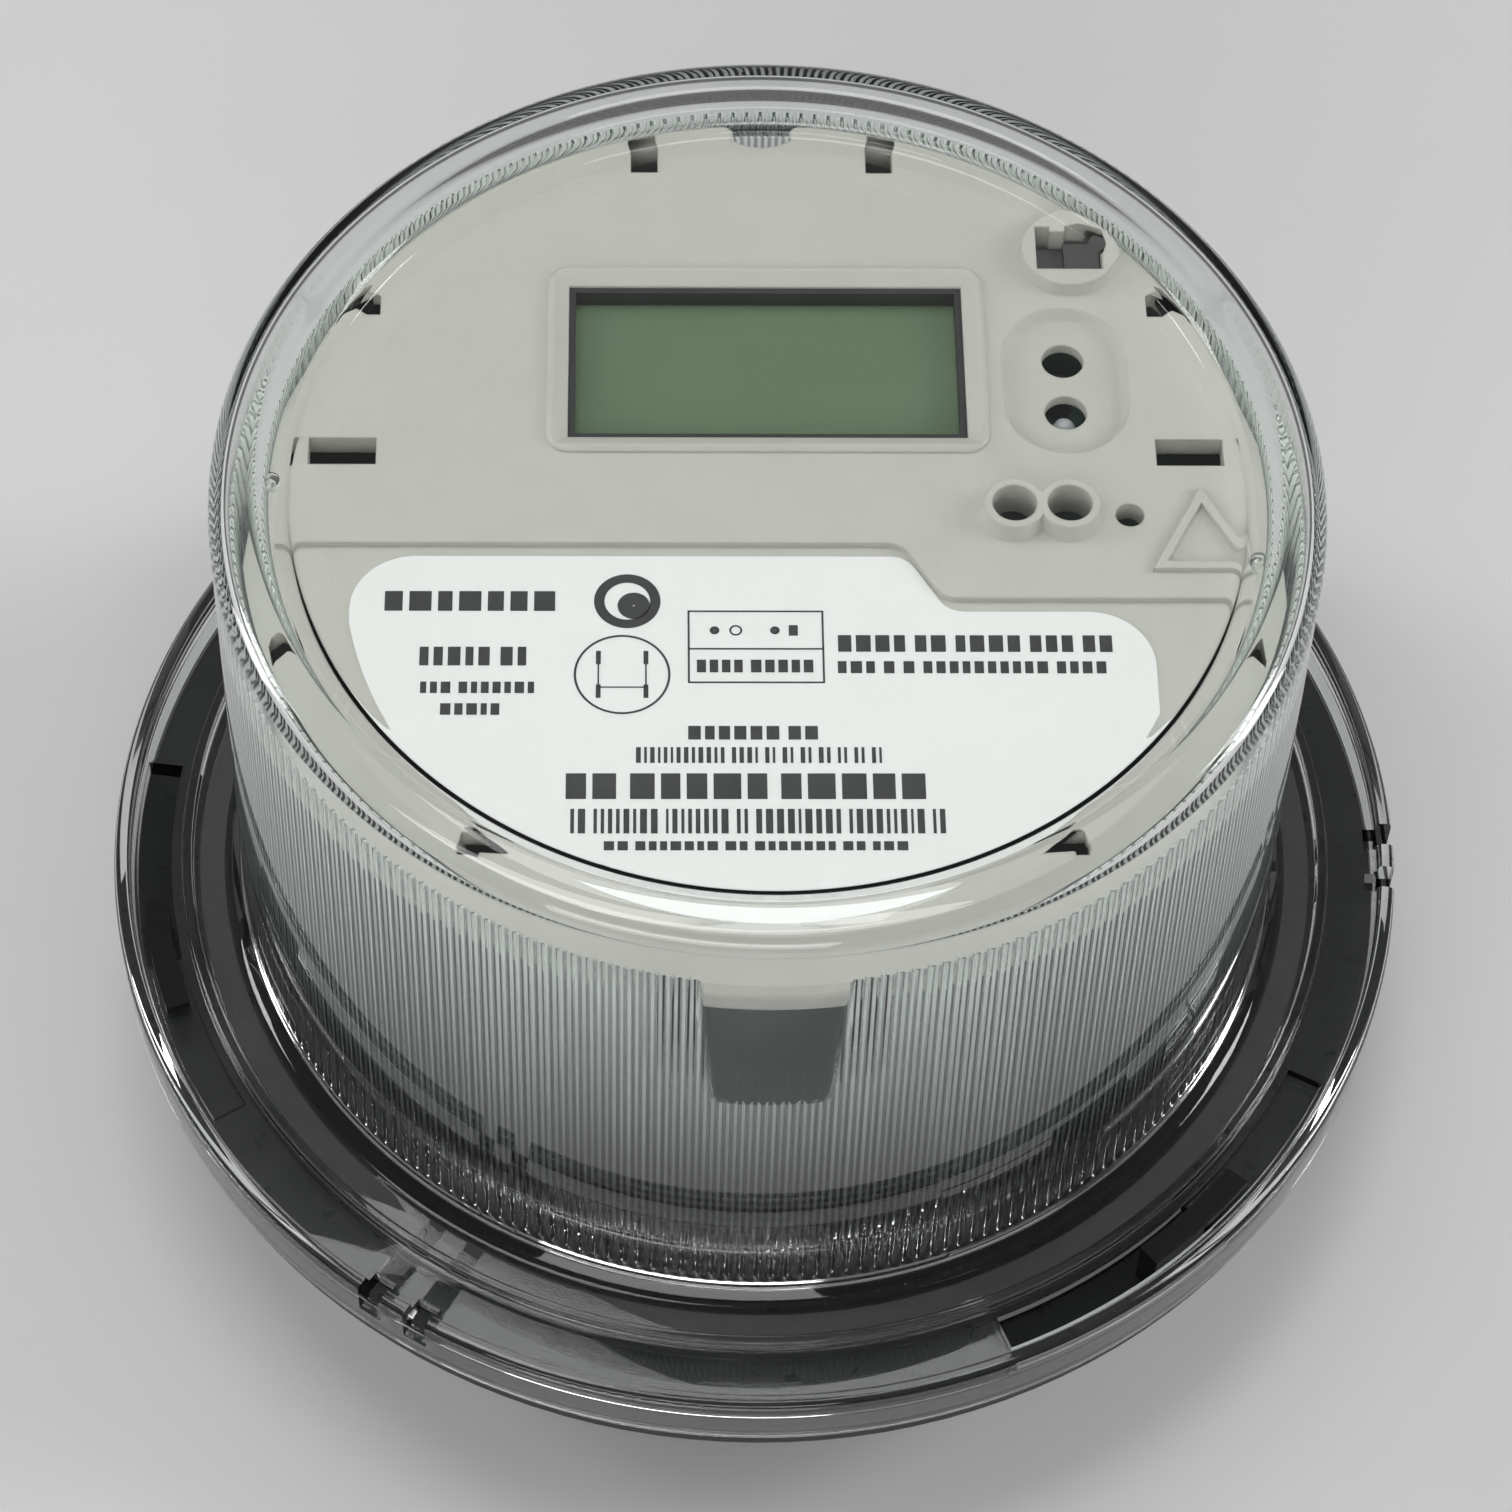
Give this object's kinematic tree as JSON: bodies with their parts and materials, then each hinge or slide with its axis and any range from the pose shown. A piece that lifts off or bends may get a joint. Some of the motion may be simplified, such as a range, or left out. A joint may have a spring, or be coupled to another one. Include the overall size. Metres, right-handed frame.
{
  "type": "smart electric meter",
  "caption": "Round socket-mounted electricity meter: clear fluted cover with bayonet flange over a grey face plate with display, black base with blades and feet.",
  "frame": {"origin": "on the drum's axis, in the plane of the tips of the feet", "axes": "+Z along the drum's axis towards the window, +Y towards 12 o'clock of the face, +X towards 3 o'clock"},
  "size_m": [0.1764, 0.1764, 0.1188],
  "materials": {
    "clear_cover": "clear polycarbonate, polished with moulded flutes",
    "black_base": "black moulded, slightly satin",
    "gasket_rubber": "matt",
    "slate_chassis": "dark slate moulded",
    "grey_plate": "warm light grey, fine moulded texture",
    "white_label": "printed film, satin",
    "lcd_glass": "grey-green reflective display",
    "black_mask": "black moulded frame",
    "white_holder": "white moulded",
    "light_guide": "milky acrylic",
    "contact_rubber": "layered silicone",
    "green_board": "green solder mask over glass fibre",
    "black_chip": "moulded epoxy",
    "dark_button": "dark grey moulded",
    "spring_steel": "bright wire",
    "zinc_screw": "zinc plated",
    "nylon_pillar": "natural nylon",
    "copper_bar": "bare copper, slightly tarnished",
    "core_steel": "varnished laminations",
    "winding_wire": "enamelled copper under tape",
    "capacitor_can": "dark sleeve",
    "varistor_blue": "dipped blue epoxy",
    "choke_ferrite": "coated ferrite",
    "shield_tin": "tin plated sheet",
    "lead_red": "insulated wire",
    "lead_white": "insulated wire",
    "clear_lamp": "clear epoxy",
    "dark_lamp": "infrared-pass epoxy",
    "tinned_blade": "tin plated copper"
  },
  "bodies": {
    "meter_body": {"backup_capacitor": "capacitor_can", "bar_rivets": "copper_bar", "base_gasket": "gasket_rubber", "blade_line_left": "tinned_blade", "blade_line_right": "tinned_blade", "blade_load_left": "tinned_blade", "blade_load_right": "tinned_blade", "chassis_screws": "zinc_screw", "cotter_pins": "zinc_screw", "face_plate": "grey_plate", "filter_choke": "choke_ferrite", "inner_chassis": "slate_chassis", "lcd_contact_strips": "contact_rubber", "lcd_glass": "lcd_glass", "lcd_holder": "white_holder", "lcd_light_guide": "light_guide", "lcd_mask": "black_mask", "left_current_bar": "copper_bar", "light_receiver": "dark_lamp", "main_board": "green_board", "main_board_header": "black_chip", "main_board_screws": "zinc_screw", "meter_base": "black_base", "metering_chip": "black_chip", "nameplate_label": "white_label", "port_emitter": "clear_lamp", "port_receiver": "dark_lamp", "power_board": "green_board", "power_board_pillars": "nylon_pillar", "processor_chip": "black_chip", "radio_antenna": "shield_tin", "radio_board": "green_board", "radio_board_header": "black_chip", "radio_board_pillars": "nylon_pillar", "radio_shield": "shield_tin", "reset_spring": "spring_steel", "reset_switch": "black_chip", "right_bus_bar": "copper_bar", "sensor_case": "white_holder", "sensor_core": "core_steel", "sensor_leads": "lead_white", "status_lamp": "clear_lamp", "supply_capacitor": "capacitor_can", "surge_varistors": "varistor_blue", "test_lamp": "clear_lamp", "transformer_core": "core_steel", "transformer_winding": "winding_wire", "voltage_lead_left": "lead_red", "voltage_lead_right": "lead_white"},
    "cover": {"outer_cover": "clear_cover"},
    "reset_plunger": {"reset_button": "dark_button"}
  },
  "joints": [
    {"name": "cover_twist", "type": "hinge", "parent": "meter_body", "child": "cover", "pos_m": [0, 0, 0.06], "axis": [0, 0, 1], "range_deg": [0, 15]},
    {"name": "reset_press", "type": "slide", "parent": "meter_body", "child": "reset_plunger", "axis": [0, 0, -1], "range_m": [0, 0.0012], "stiffness_N_per_m": 400, "deforming": ["reset_spring"]}
  ]
}
